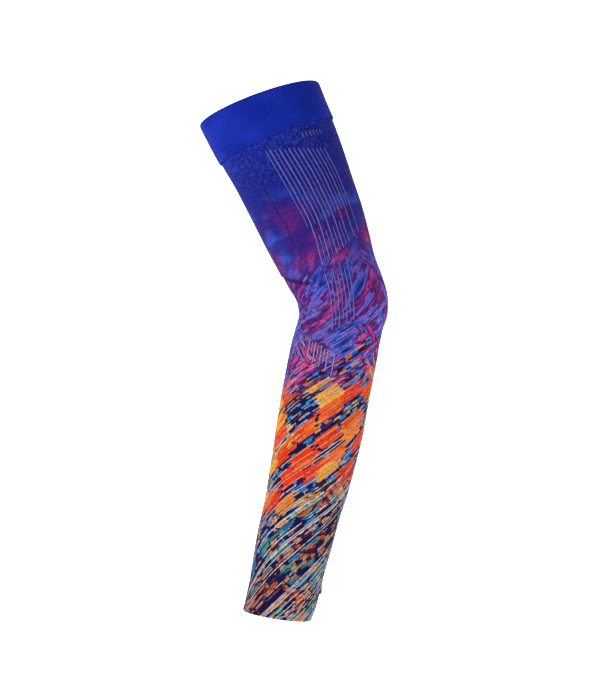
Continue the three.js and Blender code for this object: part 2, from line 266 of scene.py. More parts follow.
class Curve:
    """Smooth run of values between the rows of a table, with no overshoot."""

    def __init__(self, rows):
        self.keys = [row[0] for row in rows]
        self.values = [row[1] for row in rows]
        spans = [b - a for a, b in zip(self.keys, self.keys[1:])]
        slopes = [(b - a) / span for a, b, span in zip(self.values, self.values[1:], spans)]
        inner = [0.0 if a * b <= 0 else 2 * a * b / (a + b) for a, b in zip(slopes, slopes[1:])]
        self.tangents = [slopes[0], *inner, slopes[-1]]

    def at(self, where):
        """Value at a place, and past the table its first or last one."""
        if where <= self.keys[0]:
            return self.values[0]
        if where >= self.keys[-1]:
            return self.values[-1]
        row = bisect.bisect_right(self.keys, where) - 1
        span = self.keys[row + 1] - self.keys[row]
        t = (where - self.keys[row]) / span
        start = (1 + 2 * t) * (1 - t) ** 2 * self.values[row]
        leaving = t * (1 - t) ** 2 * span * self.tangents[row]
        end = t ** 2 * (3 - 2 * t) * self.values[row + 1]
        arriving = t ** 2 * (t - 1) * span * self.tangents[row + 1]
        return start + leaving + end + arriving


def smoothstep(value, low, high):
    """0 below low, 1 above high, eased between them."""
    t = min(max((value - low) / (high - low), 0.0), 1.0)
    return t * t * (3 - 2 * t)


def hill(distance, reach):
    """1 at no distance, falling smoothly away over reach."""
    return math.exp(-(distance / reach) ** 2)


# What the points of one ring share: its place, its turn, half its width and depth, and its fan
Ring = namedtuple("Ring", "along centre tilt pitch half half_depth shift left right")

# One step of a band's outline. lift: off the bare tube. skin: FACE or REVERSE, which are also the
# places of the two materials
Spot = namedtuple("Spot", "along lift skin")
FACE = 0
REVERSE = 1

# Rows round the turned edge of a hem
TURNED_ROWS = 10

# Points closer than this many metres are one point
SAME_POINT = 0.5e-6


class WornForm:
    """The form of the worn sleeve, from its sizes."""

    # Steps along the arm's line, and of the sum that gives a flat area
    line_steps = 600
    area_steps = 60

    # Over how much of the tube its relief fades in at a band, and a wale at its ends
    band_clearance = 4 * MM
    wale_fade = 4 * MM

    # The fold: how far it is felt, the width of its drop and of its painted shadow line, its lip, and
    # the places above and below a spot whose folds the inner face keeps below
    fold_reach = 3.4 * MM
    fold_step = 0.8 * MM
    crease_reach = 2.08 * MM
    fold_lip = 1.0 * MM
    lining_reach = (-5 * MM, -2.5 * MM, 0.0, 2.5 * MM, 5 * MM)

    # How far the ridge is felt, and how far the welt's rim rolls in and over what depth
    ridge_reach = 6 * MM
    rim_curl = 0.6 * MM
    rim_curl_depth = 4 * MM

    def __init__(self, sizes):
        self.sizes = sizes
        self.bends = Curve(BENDS)
        self.width = Curve([(row.at, getattr(sizes, row.of) * row.width) for row in SECTIONS])
        self.depth = Curve([(row.at, row.depth) for row in SECTIONS])
        self.shift = Curve([(row.at, row.shift) for row in SECTIONS])
        self.skew = Curve([(row.at, row.skew) for row in SECTIONS])
        self.pitch = Curve([(row.at, row.pitch) for row in SECTIONS])
        self.fan_left = Curve(FAN_LEFT)
        self.fan_right = Curve(FAN_RIGHT)
        self.fold_place = Curve(FOLD_PLACE)
        self.fold_share = Curve(FOLD_DEPTH)
        self.ridge = Curve(RIDGE)
        self.line = [Vector()]
        stride = sizes.sleeve_length / self.line_steps
        for step in range(self.line_steps):
            heading = self.lean((step + 0.5) / self.line_steps)
            self.line.append(self.line[-1] + stride * Vector((math.sin(heading), 0, -math.cos(heading))))

    def lean(self, at):
        """Lean of the arm's line from upright, at a share of the length."""
        return self.sizes.upper_lean - self.sizes.elbow_bend * self.bends.at(at)

    def ring(self, along):
        """What every point of one ring shares."""
        at = along / self.sizes.sleeve_length
        place = min(max(at, 0.0), 1.0) * self.line_steps
        step = min(int(place), self.line_steps - 1)
        half = self.width.at(at) / 2
        return Ring(
            along, self.line[step].lerp(self.line[step + 1], place - step),
            self.lean(at) + math.radians(self.skew.at(at)), math.radians(self.pitch.at(at)),
            half, half * self.depth.at(at), self.sizes.elbow_width * self.shift.at(at),
            self.fan_left.at(at), self.fan_right.at(at))

    def degrees_round(self, ring, column):
        """Degrees round from the front of a column, which may lie between whole ones."""
        last = FAN_COLUMNS - 1
        if column <= last:
            return ring.left + (ring.right - ring.left) * column / last
        back = (column - last) / (BACK_COLUMNS + 1)
        return ring.right + (TURN + ring.left - ring.right) * back

    def point(self, ring, degrees, lift):
        """Point of the cloth, lifted off the bare tube."""
        sine = math.sin(math.radians(degrees))
        cosine = math.cos(math.radians(degrees))
        norm = math.hypot(ring.half_depth * sine, ring.half * cosine)
        across = ring.shift + ring.half * sine + lift * ring.half_depth * sine / norm
        back = -ring.half_depth * cosine - lift * ring.half * cosine / norm
        up = -back * math.tan(ring.pitch)
        x = math.cos(ring.tilt) * across - math.sin(ring.tilt) * up
        z = math.sin(ring.tilt) * across + math.cos(ring.tilt) * up
        return ring.centre + Vector((x, back, z))

    def shows(self, along):
        """0 under the welt and the cuff, 1 on the tube that shows between them."""
        below_welt = along - self.sizes.welt_depth
        above_cuff = self.sizes.sleeve_length - along - self.sizes.cuff_depth
        return smoothstep(min(below_welt, above_cuff), 0, self.band_clearance)

    def wale_rise(self, column, along):
        """Share of a wale's height at a column of the fan."""
        at = along / self.sizes.sleeve_length
        rise = 0.0
        for group in WALES:
            if not group.first - 1 < column < group.last + 1:
                continue
            count = round((group.last - group.first) / group.every)
            nearest = min(max(round((column - group.first) / group.every), 0), count)
            beside = abs(column - group.first - nearest * group.every)
            if beside > WALE_SPREAD:
                continue
            across = nearest / max(count, 1)
            begins = group.begins[0] + (group.begins[1] - group.begins[0]) * across
            ends = group.ends[0] + (group.ends[1] - group.ends[0]) * across
            inside = min(at - begins, ends - at) * self.sizes.sleeve_length
            crest = 0.5 + 0.5 * math.cos(math.pi * beside / WALE_SPREAD)
            rise += group.rise * crest * smoothstep(inside, 0, self.wale_fade)
        return rise * self.shows(along)

    def signed(self, degrees):
        """Degrees round from the front, negative on the inner side of the elbow."""
        return degrees - TURN if degrees > TURN / 2 else degrees

    def pleat_rise(self, pleat, turn, along):
        """Share of a pleat's height at a spot."""
        share = (turn - pleat.start[0]) / (pleat.end[0] - pleat.start[0])
        if not 0 < share < 1:
            return 0.0
        at = pleat.start[1] + (pleat.end[1] - pleat.start[1]) * share
        beside = along - at * self.sizes.sleeve_length
        return math.sin(math.pi * share) * hill(beside, pleat.wide * MM)

    def folds(self, degrees, along):
        """Lift of the fold and pleats of the crook and of the ridge above the cuff."""
        turn = self.signed(degrees)
        full = self.sizes.sleeve_length
        below = along - self.fold_place.at(turn) * full
        lip = self.fold_lip * hill(min(below + self.fold_step, 0), self.fold_reach)
        fallen = smoothstep(below, -self.fold_step, self.fold_step)
        dent = self.sizes.fold_depth * hill(max(below, 0), 2 * self.fold_reach)
        lift = self.fold_share.at(turn) * (lip * (1 - fallen) - dent * fallen)
        lift += sum(pleat.high * MM * self.pleat_rise(pleat, turn, along) for pleat in PLEATS)
        lift *= self.shows(along)
        above_cuff = full - self.sizes.cuff_depth - along
        if above_cuff >= 0:
            lift += self.sizes.ridge_height * self.ridge.at(degrees) * hill(above_cuff, self.ridge_reach)
        return lift

    def lining(self, degrees, along):
        """Lift of the inner face, which keeps below every fold near it."""
        return min(self.folds(degrees, along + offset) for offset in self.lining_reach)

    def crease(self, degrees, along):
        """How far a spot lies down in the crease of the crook, or up on its first pleat."""
        # The value only colours the print: painted shadow down in the crease, painted highlight up on the
        # pleat
        turn = self.signed(degrees)
        below = along - self.fold_place.at(turn) * self.sizes.sleeve_length
        down = self.fold_share.at(turn) * hill(below - self.fold_step, self.crease_reach)
        return self.pleat_rise(PLEATS[0], turn, along) - down

    def rim_roll(self, along):
        """The welt's edge rolls in a little."""
        left = 1 - min(along / self.rim_curl_depth, 1)
        return -self.rim_curl * left ** 2

    def girth(self, along):
        """Length round the bare tube."""
        ring = self.ring(along)
        a = ring.half
        b = ring.half_depth
        return math.pi * (3 * (a + b) - math.sqrt((3 * a + b) * (a + 3 * b)))

    def flat_area(self, top, bottom):
        """Area of one layer of cloth between two places."""
        stride = (bottom - top) / self.area_steps
        middles = [top + (step + 0.5) * stride for step in range(self.area_steps)]
        return sum(self.girth(middle) for middle in middles) * stride


def even_spots(start, end, steps, lift, skin):
    """Even steps of one skin, both ends included."""
    return [Spot(start + (end - start) * step / steps, lift, skin) for step in range(steps + 1)]


def turned_edge(edge, start_lift, end_lift, into_band, steps, skin):
    """Half round of a turned edge, from one skin over to the other."""
    radius = abs(end_lift - start_lift) / 2
    middle = (start_lift + end_lift) / 2
    spots = []
    for step in range(steps + 1):
        bow = math.pi * step / steps
        along = edge + into_band * radius * (1 - math.sin(bow))
        spots.append(Spot(along, middle + (start_lift - middle) * math.cos(bow), skin))
    return spots


def swept_band(name, form, outline, fan_cuts, back_cuts, relief, materials):
    """A closed band of cloth: an outline of spots swept once round the arm.

    The outline runs up the outer skin and down the inner one. Each column of the fan is cut into
    fan_cuts steps, and each of the back into back_cuts. relief gives the value that the cloth's
    painted highlight and shade read, from -1 in a crease to 1 on a wale, and the lift of a spot.
    """
    fan_steps = (FAN_COLUMNS - 1) * fan_cuts
    back_steps = (BACK_COLUMNS + 1) * back_cuts
    columns = [step / fan_cuts for step in range(fan_steps)]
    columns += [FAN_COLUMNS - 1 + step / back_cuts for step in range(back_steps + 1)]
    rings = [form.ring(spot.along) for spot in outline]
    wide = len(columns) - 1
    tall = len(outline)

    bm = bmesh.new()
    uv_layer = bm.loops.layers.uv.new(KNIT_UV)
    relief_layer = bm.verts.layers.float.new(RELIEF)
    bmesh.ops.create_grid(bm, x_segments=wide, y_segments=tall, size=0.5)
    places = {}
    for vert in bm.verts:
        across = round((vert.co.x + 0.5) * wide)
        row = round((vert.co.y + 0.5) * tall) % tall
        spot = outline[row]
        ring = rings[row]
        degrees = form.degrees_round(ring, columns[across])
        wale, lift = relief(spot, columns[across] if across < wide else 0.0, degrees)
        places[vert] = (degrees / TURN + 0.5, spot.along, spot.skin)
        vert[relief_layer] = wale
        vert.co = form.point(ring, degrees, spot.lift + lift)
    for face in bm.faces:
        skins = []
        for loop in face.loops:
            turns, along, skin = places[loop.vert]
            loop[uv_layer].uv = (turns * PRINT_GIRTH, along)
            skins.append(skin)
        face.material_index = max(skins)
        face.smooth = True
    bmesh.ops.remove_doubles(bm, verts=bm.verts, dist=SAME_POINT)
    mesh = bpy.data.meshes.new(name)
    bm.to_mesh(mesh)
    bm.free()
    for material in materials:
        mesh.materials.append(material)
    piece = bpy.data.objects.new(name, mesh)
    bpy.context.scene.collection.objects.link(piece)
    return piece


def start_material(name):
    """A new material, its shader, and the function that adds a node to it."""
    material = bpy.data.materials.new(name)
    material.use_nodes = True
    tree = material.node_tree
    shader = next(node for node in tree.nodes if node.type == "BSDF_PRINCIPLED")

    def add(kind, inputs=(), output=0, stops=(), steps="LINEAR", **settings):
        """Adds a node with its settings, values, links and colour stops, and gives one output."""
        node = tree.nodes.new(kind)
        for key, value in settings.items():
            setattr(node, key, value)
        pairs = inputs.items() if isinstance(inputs, dict) else enumerate(inputs)
        for key, value in pairs:
            socket = node.inputs[key]
            if isinstance(value, bpy.types.NodeSocket):
                tree.links.new(value, socket)
            elif socket.type == "RGBA":
                socket.default_value = (*value, 1.0)
            else:
                socket.default_value = value
        if stops:
            ramp = node.color_ramp
            ramp.interpolation = steps
            while len(ramp.elements) < len(stops):
                ramp.elements.new(1.0)
            for element, (place, shade) in zip(ramp.elements, stops):
                element.position = place
                element.color = (*shade, 1.0)
        return node.outputs[output]

    return material, shader, add


def set_cloth(material, shader, shade, bump):
    """Dull polyamide and elastane knit: matte, with hardly any gloss, so that dark yarn stays dark."""
    material.node_tree.links.new(shade, shader.inputs["Base Color"])
    material.node_tree.links.new(bump, shader.inputs["Normal"])
    shader.inputs["Roughness"].default_value = 0.8
    shader.inputs["IOR"].default_value = 1.5
    shader.inputs["Specular IOR Level"].default_value = 0.06


# Stitches of a knit: millimetres from wale to wale and from course to course, and height in metres.
# Real ones are about 0.8 mm apart, too fine to show, so they are drawn coarser here
Stitches = namedtuple("Stitches", "wale course height")
TUBE_STITCHES = Stitches(1.9, 1.7, 0.22 * MM)
REVERSE_STITCHES = Stitches(1.9, 1.5, 0.14 * MM)
WELT_STITCHES = Stitches(1.5, 1.5, 0.14 * MM)


def knit_bump(add, around, along, stitches):
    """Bump of jersey stitches: legs of a V that lean towards each other, course on course."""
    column = add("ShaderNodeMath", (around, 1 / stitches.wale), operation="MULTIPLY")
    leg = add("ShaderNodeMath", (column, 1.0), operation="PINGPONG")
    lean = add("ShaderNodeMath", (leg, 0.8), operation="MULTIPLY")
    course = add("ShaderNodeMath", (along, 1 / stitches.course, lean), operation="MULTIPLY_ADD")
    stitch = add("ShaderNodeMath", (course, 2 * math.pi), operation="MULTIPLY")
    stitch = add("ShaderNodeMath", (stitch,), operation="SINE")
    groove = add("ShaderNodeMath", (leg, 2 * math.pi), operation="MULTIPLY")
    groove = add("ShaderNodeMath", (groove,), operation="COSINE")
    height = add("ShaderNodeMath", (groove, -0.6, stitch), operation="MULTIPLY_ADD")
    return add("ShaderNodeBump", {"Strength": 1.0, "Distance": stitches.height, "Height": height})


# Slant of the print's threads, and in millimetres their width, that of the thin lines over them,
# the stitch of the heather, and how far apart the long dark threads and the dashes across them
# are. Real yarn is about 0.3 mm, too fine to show, so it is drawn coarser
THREAD_ANGLE = math.radians(39)
THREAD_WIDTH = 1.5
LINE_WIDTH = 0.85
STITCH = 0.7
LONG_THREAD_PITCH = 3.1
CROSS_DASH_PITCH = 2.4

# Patterns of the cloth: size in millimetres along each of their two places, and how deep in the
# noise each is read, so that no two look alike
Pattern = namedtuple("Pattern", "first second depth")
WANDER_ACROSS = Pattern(85, 85, 3.1)
WANDER_ALONG = Pattern(70, 70, 7.7)
CROSSINGS = Pattern(34, 26, 1.9)
HEATHER = Pattern(1.3, 1.5, 1.5)
EDGE_WAVES = Pattern(24, 16, 0.7)
VIOLET_CLOUDS = Pattern(30, 24, 4.2)
PLUM_CLOUDS = Pattern(26, 17, 12.6)
BLUE_CLOUDS = Pattern(24, 15, 21.3)
ELBOW_BANDS = Pattern(30, 9, 6.9)
ELBOW_DASHES = Pattern(8, 3, 2.2)
ELBOW_DRIFT = Pattern(36, 27, 5.1)
EMBER_DASHES = Pattern(6, 1.5, 3.4)
PATCHES = Pattern(27, 12, 5.9)
PATCH_STREAKS = Pattern(22, 1.5, 6.4)
PATCH_DASHES = Pattern(8, 3, 7.9)
WRIST_DASHES = Pattern(17, 6, 8.8)
WRIST_DRIFT = Pattern(30, 26, 9.6)
LINE_BREAKS = Pattern(6, 1, 2.7)
PLAIN_HEATHER = Pattern(0.9, 0.9, 0.0)
PLAIN_DRIFT = Pattern(22, 22, 5.0)

# How far a noise is broken up, and how even the cells are
EVEN = {"Scale": 1.0, "Detail": 0.0}
SOFT = {"Scale": 1.0, "Detail": 1.0}
BROKEN = {"Scale": 1.0, "Detail": 2.0}
CELLS = {"Scale": 1.0, "Randomness": 0.9}

# Stretches of the print, in millimetres down the sleeve: where each begins and has taken over
GROUND_RUN = (48, 80)
CLOUD_RUN = (84, 128)
ELBOW_RUN = (146, 188)
EMBER_RUN = (206, 262)
PATCH_RUN = (240, 250)
WRIST_RUN = (338, 346)
LONG_THREAD_RUN = (312, 362)
DARK_LINE_RUN = (180, 270)
PALE_LINE_RUN = (190, 350)
# Where the painted highlight on the crests turns paler
PALE_CREST_RUN = (185, 205)
SPECK_RUN = (96, 50)
STEEPER_RUN = (240, 420)
CROSSINGS_END = 226

# Where the print gives way to its own start at the back, in millimetres round the sleeve
BACK_JOIN = (0.76 * MM_ROUND, 0.98 * MM_ROUND)

# How far threads wander, are shifted along themselves, and move the edges of the stretches, in
# millimetres. A swing moves an edge up on one side of the sleeve and down on the other
WANDER_ACROSS_BY = 5
WANDER_ALONG_BY = 7
RAGGED_SHIFT = 8
LOOSE_SHIFT = 26
SOFT_SHIFT = 34
SPECKLE_SHIFT = 16
EDGE_SHIFT = 16
PATCH_SWING = -15
WRIST_SWING = -30

# Shares: how much steeper the threads get, the noise above which they cross over, how much of a
# cell a patch fills, and how much of their pitch the long threads and the cross dashes fill
STEEPER_BY = 0.38
CROSSING_LEVEL = 0.58
PATCH_FILL = 0.44
LONG_THREAD_FILL = 0.37
CROSS_DASH_FILL = 0.34

# What the stretches of the print share. around, along: millimetres round and down. x: round, with
# the back joined up. stitch_x, stitch_y: x and along, by whole stitches. beside, ahead: across and
# along the threads. thread_side: beside, by whole threads. ragged, loose: ahead, shifted by little
# or much from thread to thread. chance_a, chance_b: two random numbers of the thread
Places = namedtuple("Places", "around along x stitch_x stitch_y heather beside ahead thread_side "
                              "ragged loose chance_a chance_b")

# Places down the sleeve, in millimetres, as stretches with each kind of edge see them
Levels = namedtuple("Levels", "soft speckled patches wrist")


def cloth_place(add):
    """Millimetres round the sleeve and down it."""
    uv = add("ShaderNodeUVMap", uv_map=KNIT_UV)
    around = add("ShaderNodeSeparateXYZ", (uv,), 0)
    around = add("ShaderNodeMath", (around, 1 / MM), operation="MULTIPLY")
    around = add("ShaderNodeMath", (around, MM_ROUND, 0.0), operation="WRAP")
    along = add("ShaderNodeSeparateXYZ", (uv,), 1)
    along = add("ShaderNodeMath", (along, 1 / MM), operation="MULTIPLY")
    return around, along


def place_of(add, x, y, pattern):
    """Texture place at which a pattern comes out at its own size."""
    x = add("ShaderNodeMath", (x, 1 / pattern.first), operation="MULTIPLY")
    y = add("ShaderNodeMath", (y, 1 / pattern.second), operation="MULTIPLY")
    return add("ShaderNodeCombineXYZ", (x, y, pattern.depth))


def thread_place(add, x, y):
    """Places across and along the slanting threads."""
    beside = add("ShaderNodeMath", (x, -math.sin(THREAD_ANGLE)), operation="MULTIPLY")
    beside = add("ShaderNodeMath", (y, -math.cos(THREAD_ANGLE), beside), operation="MULTIPLY_ADD")
    ahead = add("ShaderNodeMath", (x, math.cos(THREAD_ANGLE)), operation="MULTIPLY")
    ahead = add("ShaderNodeMath", (y, -math.sin(THREAD_ANGLE), ahead), operation="MULTIPLY_ADD")
    return beside, ahead


def counted(add, value, width):
    """Whole number of widths in a value."""
    count = add("ShaderNodeMath", (value, 1 / width), operation="MULTIPLY")
    return add("ShaderNodeMath", (count,), operation="FLOOR")


def joined_round(add, around, along):
    """Place round the sleeve for the print, joined up at the back.

    There the print gives way to its own start, thread by thread.
    """
    beside, _ = thread_place(add, around, along)
    thread = counted(add, beside, THREAD_WIDTH)
    chance = add("ShaderNodeTexWhiteNoise", {"W": thread}, noise_dimensions="1D")
    past = add("ShaderNodeMapRange", (around, *BACK_JOIN))
    gives_way = add("ShaderNodeMath", (past, chance), operation="GREATER_THAN")
    return add("ShaderNodeMath", (gives_way, -MM_ROUND, around), operation="MULTIPLY_ADD")


def wandering_place(add, x, along):
    """Place at which the threads are drawn, so that they wander, cross over and get steeper."""
    across_wander = add("ShaderNodeTexNoise", {"Vector": place_of(add, x, along, WANDER_ACROSS), **SOFT})
    along_wander = add("ShaderNodeTexNoise", {"Vector": place_of(add, x, along, WANDER_ALONG), **SOFT})
    steeper = add("ShaderNodeMapRange", (along, *STEEPER_RUN, 0.0, STEEPER_BY))
    off_front = add("ShaderNodeMath", (x, -MM_ROUND / 2), operation="ADD")
    warped_x = add("ShaderNodeMath", (off_front, steeper, x), operation="MULTIPLY_ADD")
    warped_x = add("ShaderNodeMath", (across_wander, WANDER_ACROSS_BY, warped_x), operation="MULTIPLY_ADD")
    warped_y = add("ShaderNodeMath", (along_wander, WANDER_ALONG_BY, along), operation="MULTIPLY_ADD")

    # In parts of the elbow the threads cross over to the other slant
    crossing = add("ShaderNodeTexNoise", {"Vector": place_of(add, x, along, CROSSINGS), **SOFT})
    crossing = add("ShaderNodeMath", (crossing, CROSSING_LEVEL), operation="GREATER_THAN")
    above = add("ShaderNodeMath", (along, CROSSINGS_END), operation="LESS_THAN")
    crossing = add("ShaderNodeMath", (crossing, above), operation="MULTIPLY")
    mirrored = add("ShaderNodeMath", (crossing, -2.0, 1.0), operation="MULTIPLY_ADD")
    warped_x = add("ShaderNodeMath", (warped_x, mirrored), operation="MULTIPLY")
    return warped_x, warped_y


def print_places(add):
    """Places and chances that the stretches of the print share."""
    around, along = cloth_place(add)
    x = joined_round(add, around, along)
    stitch_x = add("ShaderNodeMath", (x, STITCH), operation="SNAP")
    stitch_y = add("ShaderNodeMath", (along, STITCH), operation="SNAP")
    place = place_of(add, stitch_x, stitch_y, HEATHER)
    heather = add("ShaderNodeTexNoise", {"Vector": place, **BROKEN, "Roughness": 0.7})
    beside, ahead = thread_place(add, *wandering_place(add, x, along))
    thread = counted(add, beside, THREAD_WIDTH)
    thread_side = add("ShaderNodeMath", (thread, THREAD_WIDTH), operation="MULTIPLY")
    chances = add("ShaderNodeTexWhiteNoise", {"W": thread}, 1, noise_dimensions="1D")
    chance_a = add("ShaderNodeSeparateColor", (chances,), 0)
    chance_b = add("ShaderNodeSeparateColor", (chances,), 1)
    ragged = add("ShaderNodeMath", (chance_a, RAGGED_SHIFT, ahead), operation="MULTIPLY_ADD")
    loose = add("ShaderNodeMath", (chance_b, LOOSE_SHIFT, ahead), operation="MULTIPLY_ADD")
    return Places(around, along, x, stitch_x, stitch_y, heather, beside, ahead, thread_side,
                  ragged, loose, chance_a, chance_b)


def print_levels(add, at):
    """Places down the sleeve for soft, speckled and ragged edges. The ragged ones slant."""
    swing = add("ShaderNodeMath", (at.around, 2 * math.pi / MM_ROUND), operation="MULTIPLY")
    swing = add("ShaderNodeMath", (swing,), operation="SINE")
    waves = add("ShaderNodeTexNoise", {"Vector": place_of(add, at.x, at.along, EDGE_WAVES), **BROKEN})
    soft = add("ShaderNodeMath", (waves, SOFT_SHIFT, at.along), operation="MULTIPLY_ADD")
    speckled = add("ShaderNodeMath", (at.heather, SPECKLE_SHIFT, soft), operation="MULTIPLY_ADD")
    ragged = add("ShaderNodeMath", (at.chance_a, EDGE_SHIFT, at.along), operation="MULTIPLY_ADD")
    patches = add("ShaderNodeMath", (swing, PATCH_SWING, ragged), operation="MULTIPLY_ADD")
    wrist = add("ShaderNodeMath", (swing, WRIST_SWING, ragged), operation="MULTIPLY_ADD")
    return Levels(soft, speckled, patches, wrist)


def upper_clouds(add, colours, at):
    """Clouds of the upper arm, heathered stitch by stitch."""
    shade = colours.ink_blue
    for pattern, fleck, low, high, most, tint in (
            (VIOLET_CLOUDS, 0.10, 0.46, 0.60, 1.0, colours.violet),
            (PLUM_CLOUDS, 0.16, 0.56, 0.70, 0.9, colours.plum),
            (BLUE_CLOUDS, 0.0, 0.56, 0.68, 0.7, colours.bright_blue)):
        cloud = add("ShaderNodeTexNoise", {"Vector": place_of(add, at.x, at.along, pattern), **SOFT})
        cloud = add("ShaderNodeMath", (at.heather, fleck, cloud), operation="MULTIPLY_ADD")
        share = add("ShaderNodeMapRange", (cloud, low, high, 0.0, most))
        shade = add("ShaderNodeMix", {0: share, 6: shade, 7: tint}, 2, data_type="RGBA")
    return shade


def elbow_bands(add, colours, at):
    """Soft bands of the elbow, with broken threads over them."""
    place = place_of(add, at.ragged, at.beside, ELBOW_BANDS)
    bands = add("ShaderNodeTexNoise", {"Vector": place, **BROKEN})
    place = place_of(add, at.loose, at.thread_side, ELBOW_DASHES)
    cells = add("ShaderNodeTexVoronoi", {"Vector": place, **CELLS}, 1, distance="CHEBYCHEV")
    chance = add("ShaderNodeSeparateColor", (cells,), 0)
    drift = add("ShaderNodeTexNoise", {"Vector": place_of(add, at.x, at.along, ELBOW_DRIFT), **SOFT})
    tint = add("ShaderNodeMath", (bands, 1.6), operation="MULTIPLY")
    tint = add("ShaderNodeMath", (drift, 0.9, tint), operation="MULTIPLY_ADD")
    tint = add("ShaderNodeMath", (chance, 0.16, tint), operation="MULTIPLY_ADD")
    tint = add("ShaderNodeMath", (tint, 0.83), operation="SUBTRACT")
    return add("ShaderNodeValToRGB", (tint,), stops=(
        (0.04, colours.dusk_and_shade), (0.15, colours.ink_blue), (0.28, colours.bright_blue),
        (0.41, colours.orchid), (0.50, colours.violet), (0.62, colours.plum),
        (0.74, colours.magenta), (0.88, colours.pink)))


def first_embers(add, colours, at):
    """First warm threads between the elbow and the forearm."""
    place = place_of(add, at.loose, at.thread_side, EMBER_DASHES)
    cells = add("ShaderNodeTexVoronoi", {"Vector": place, **CELLS}, 1, distance="CHEBYCHEV")
    tint = add("ShaderNodeSeparateColor", (cells,), 0)
    return add("ShaderNodeValToRGB", (tint,), steps="CONSTANT", stops=(
        (0.00, colours.pink), (0.22, colours.navy), (0.44, colours.bright_blue),
        (0.58, colours.orange), (0.72, colours.maroon), (0.86, colours.sky)))


def forearm_patches(add, colours, at):
    """Wide ragged patches of the forearm with dashes round them, and where the dashes are."""
    place = place_of(add, at.ragged, at.thread_side, PATCHES)
    from_middle = add("ShaderNodeTexVoronoi", {"Vector": place, **CELLS}, 0, distance="CHEBYCHEV")
    cells = add("ShaderNodeTexVoronoi", {"Vector": place, **CELLS}, 1, distance="CHEBYCHEV")
    tint = add("ShaderNodeSeparateColor", (cells,), 0)
    place = place_of(add, at.loose, at.thread_side, PATCH_STREAKS)
    streaks = add("ShaderNodeTexNoise", {"Vector": place, **EVEN})
    tint = add("ShaderNodeMath", (streaks, 0.55, tint), operation="MULTIPLY_ADD")
    patches = add("ShaderNodeValToRGB", (tint,), stops=(
        (0.10, colours.yellow), (0.36, colours.orange), (0.56, colours.red),
        (0.86, colours.red), (1.00, colours.orange), (1.00, colours.yellow)))
    place = place_of(add, at.loose, at.thread_side, PATCH_DASHES)
    cells = add("ShaderNodeTexVoronoi", {"Vector": place, **CELLS}, 1, distance="CHEBYCHEV")
    tint = add("ShaderNodeSeparateColor", (cells,), 1)
    dashes = add("ShaderNodeValToRGB", (tint,), steps="CONSTANT", stops=(
        (0.00, colours.navy), (0.40, colours.sky), (0.55, colours.maroon),
        (0.68, colours.navy), (0.80, colours.mustard), (0.90, colours.ink_blue)))
    edge = add("ShaderNodeMath", (from_middle, PATCH_FILL), operation="GREATER_THAN")
    shade = add("ShaderNodeMix", {0: edge, 6: patches, 7: dashes}, 2, data_type="RGBA")
    return shade, edge


def wrist_dashes(add, colours, at):
    """Narrow ragged patches near the wrist."""
    place = place_of(add, at.ragged, at.thread_side, WRIST_DASHES)
    cells = add("ShaderNodeTexVoronoi", {"Vector": place, **CELLS}, 1, distance="CHEBYCHEV")
    tint = add("ShaderNodeSeparateColor", (cells,), 2)
    drift = add("ShaderNodeTexNoise", {"Vector": place_of(add, at.x, at.along, WRIST_DRIFT), **EVEN})
    tint = add("ShaderNodeMath", (tint, 0.62, drift), operation="MULTIPLY_ADD")
    return add("ShaderNodeValToRGB", (tint,), steps="CONSTANT", stops=(
        (0.00, colours.mustard), (0.46, colours.teal), (0.64, colours.sky), (0.70, colours.navy),
        (0.77, colours.peach), (0.86, colours.maroon), (0.93, colours.orange), (1.00, colours.navy)))


def print_ground(add, colours, at, levels, patches):
    """The stretches of the print, one after the other down the sleeve."""
    glowing = add("ShaderNodeMapRange", (levels.patches, *EMBER_RUN))
    stretches = (
        (add("ShaderNodeMapRange", (levels.soft, *GROUND_RUN)), colours.ground),
        (add("ShaderNodeMapRange", (levels.soft, *CLOUD_RUN)), upper_clouds(add, colours, at)),
        (add("ShaderNodeMapRange", (levels.speckled, *ELBOW_RUN)), elbow_bands(add, colours, at)),
        (add("ShaderNodeMath", (glowing, at.chance_b), operation="GREATER_THAN"),
         first_embers(add, colours, at)),
        (add("ShaderNodeMapRange", (levels.patches, *PATCH_RUN)), patches),
        (add("ShaderNodeMapRange", (levels.wrist, *WRIST_RUN)), wrist_dashes(add, colours, at)),
    )
    shade = colours.royal
    for share, stretch in stretches:
        shade = add("ShaderNodeMix", {0: share, 6: shade, 7: stretch}, 2, data_type="RGBA")
    return shade


